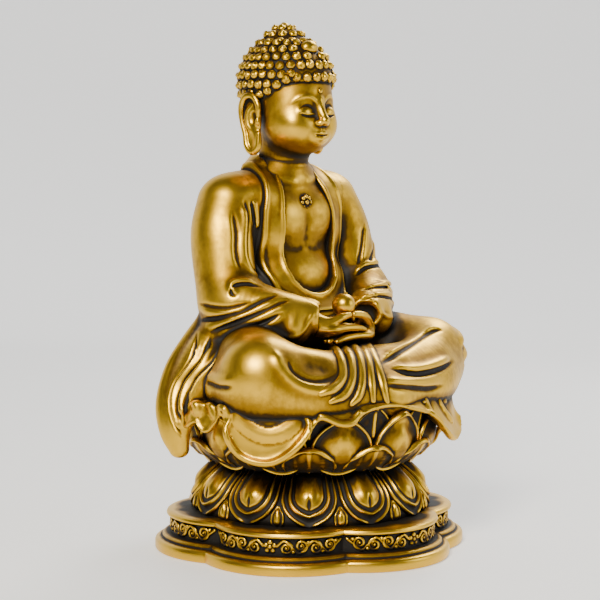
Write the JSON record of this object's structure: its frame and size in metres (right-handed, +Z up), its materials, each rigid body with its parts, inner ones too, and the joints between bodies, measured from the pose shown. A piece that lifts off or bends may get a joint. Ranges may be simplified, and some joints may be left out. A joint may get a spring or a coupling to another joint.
{
  "type": "buddha statue",
  "caption": "Brass figure seated in meditation on a double lotus throne and a lobed plinth, robe draped over the lotus, hands in the lap round a small jewel.",
  "frame": {"origin": "centre of the underside of the foot, at the middle of the object's footprint", "axes": "+Z up through the crown of the head; the figure faces -Y; its left side is +X"},
  "size_m": [0.1214, 0.117, 0.1945],
  "materials": {
    "aged_brass": "cast brass, satin, olive-gold with near-black patina in the recesses",
    "dark_brass": "cast brass under a heavy dark patina",
    "worn_brass": "cast brass, its raised work rubbed bright, dark in the lines",
    "robe_brass": "cast and hand-finished brass, satin, darkened in the folds",
    "skin_brass": "smooth hand-rubbed brass, satin",
    "hair_brass": "cast brass curls, bright on top and near-black between",
    "plate_brass": "rolled brass sheet, dulled",
    "zinc_steel": "zinc-plated steel, dull"
  },
  "bodies": {
    "root": {"plinth": "aged_brass", "frieze_scrolls": "worn_brass", "lower_lotus": "dark_brass", "lower_petals": "worn_brass", "waist_collar": "dark_brass", "lotus_bowl": "dark_brass", "sepals": "aged_brass", "front_petals": "worn_brass", "back_petals": "worn_brass", "stamen_ring": "worn_brass", "folded_legs": "robe_brass", "robe_hem": "robe_brass", "front_pleats": "robe_brass", "torso": "skin_brass", "outer_robe": "robe_brass", "lapel_band": "robe_brass", "right_sleeve": "robe_brass", "left_sleeve": "robe_brass", "right_hand": "skin_brass", "left_hand": "skin_brass", "wish_jewel": "skin_brass", "head": "skin_brass", "right_ear": "skin_brass", "left_ear": "skin_brass", "hair": "hair_brass", "crown_jewel": "skin_brass", "urna": "skin_brass", "chest_rosette": "worn_brass", "tie_rod": "zinc_steel", "tie_nut": "zinc_steel", "tie_washer": "zinc_steel", "base_plate": "plate_brass", "base_screws": "zinc_steel"}
  },
  "joints": []
}
